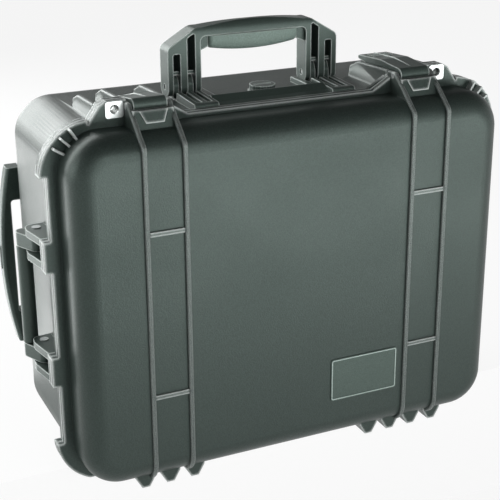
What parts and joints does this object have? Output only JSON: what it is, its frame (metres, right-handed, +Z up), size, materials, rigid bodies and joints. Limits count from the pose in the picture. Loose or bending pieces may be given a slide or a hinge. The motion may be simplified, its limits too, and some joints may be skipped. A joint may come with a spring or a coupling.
{
  "type": "laptop hard case",
  "caption": "Wheeled hard plastic laptop case with hinged lid, lever latches, folding carry handle, side handle and telescoping pull handle.",
  "frame": {"origin": "bottom centre of the bounding box, on the plane the feet stand on", "axes": "+X along the length towards the wheel end, +Y from the lid towards the back of the base, +Z up"},
  "size_m": [0.571, 0.265, 0.4985],
  "materials": {
    "shell": "fine textured",
    "fittings": "fine textured",
    "button": "smooth",
    "label": "satin",
    "gasket": "matte",
    "soft_grip": "matte",
    "foam": "open cell",
    "steel": "satin",
    "stainless": "brushed",
    "aluminium": "anodised",
    "tyre": "matte",
    "hub": "smooth",
    "bearing": "polished"
  },
  "bodies": {
    "base": {"base_rim": "shell", "base_left_wall": "shell", "base_right_wall": "shell", "base_top_wall": "shell", "base_bottom_wall": "shell", "base_back": "shell", "base_foam_block": "foam", "base_foam_pad": "foam", "hinge_pins": "steel", "base_padlock_plates": "stainless", "handle_bracket": "fittings", "bracket_screws": "steel", "handle_pins": "steel", "valve_body": "fittings", "valve_nut": "fittings", "side_handle_mounts": "fittings", "side_handle_pins": "steel", "trolley_housing": "fittings", "trolley_screws": "steel", "trolley_outer_tubes": "aluminium", "wheel_housings": "fittings", "wheel_axles": "steel"},
    "lid": {"lid_shell": "shell", "rim_gasket": "gasket", "lid_foam": "foam", "label_plate": "label", "latch_pins": "steel", "lid_padlock_plates": "stainless"},
    "left_latch": {"left_latch_lever": "fittings"},
    "left_claw": {"left_latch_claw": "fittings"},
    "right_latch": {"right_latch_lever": "fittings"},
    "right_claw": {"right_latch_claw": "fittings"},
    "carry_handle": {"handle_frame": "fittings", "handle_grip": "soft_grip"},
    "side_handle": {"side_handle_frame": "fittings", "side_handle_sleeve": "soft_grip"},
    "pull_handle": {"pull_grip": "fittings", "pull_tubes": "aluminium"},
    "release_button": {"release_button": "button"},
    "valve_knob": {"valve_knob": "fittings"},
    "upper_wheel": {"upper_wheel_tyre": "tyre", "upper_wheel_hub": "hub", "upper_wheel_bearings": "bearing"},
    "lower_wheel": {"lower_wheel_tyre": "tyre", "lower_wheel_hub": "hub", "lower_wheel_bearings": "bearing"}
  },
  "joints": [
    {"name": "lid_hinge", "type": "hinge", "parent": "base", "child": "lid", "pos_m": [0.0055, -0.0715, 0.006], "axis": [1, 0, 0], "range_deg": [0, 100]},
    {"name": "left_latch_pivot", "type": "hinge", "parent": "lid", "child": "left_latch", "pos_m": [-0.1549, -0.0845, 0.4365], "axis": [1, 0, 0], "range_deg": [0, 115]},
    {"name": "left_claw_pivot", "type": "hinge", "parent": "left_latch", "child": "left_claw", "pos_m": [-0.1549, -0.0415, 0.4205], "axis": [-1, 0, 0], "range_deg": [-20, 12]},
    {"name": "right_latch_pivot", "type": "hinge", "parent": "lid", "child": "right_latch", "pos_m": [0.1659, -0.0845, 0.4365], "axis": [1, 0, 0], "range_deg": [-12, 103]},
    {"name": "right_claw_pivot", "type": "hinge", "parent": "right_latch", "child": "right_claw", "pos_m": [0.1659, -0.03911, 0.42979], "axis": [-1, 0, 0], "range_deg": [-20, 12]},
    {"name": "carry_handle_fold", "type": "hinge", "parent": "base", "child": "carry_handle", "pos_m": [0.0055, 0.0085, 0.4295], "axis": [1, 0, 0], "range_deg": [0, 60]},
    {"name": "side_handle_swing", "type": "hinge", "parent": "base", "child": "side_handle", "pos_m": [-0.2675, -0.0255, 0.214], "axis": [0, 0, 1], "range_deg": [0, 70]},
    {"name": "pull_handle_slide", "type": "slide", "parent": "base", "child": "pull_handle", "axis": [-1, 0, 0], "range_m": [0, 0.39]},
    {"name": "release_button_press", "type": "slide", "parent": "pull_handle", "child": "release_button", "axis": [1, 0, 0], "range_m": [0, 0.003], "stiffness_N_per_m": 300, "springref_m": -0.002},
    {"name": "valve_turn", "type": "hinge", "parent": "base", "child": "valve_knob", "pos_m": [0.0115, -0.0115, 0.422], "axis": [0, 0, 1], "range_deg": [-180, 0]},
    {"name": "upper_wheel_spin", "type": "hinge", "parent": "base", "child": "upper_wheel", "pos_m": [0.2555, 0.1025, 0.364], "axis": [0, 0, 1], "continuous": true},
    {"name": "lower_wheel_spin", "type": "hinge", "parent": "base", "child": "lower_wheel", "pos_m": [0.2555, 0.1025, 0.064], "axis": [0, 0, 1], "continuous": true}
  ]
}
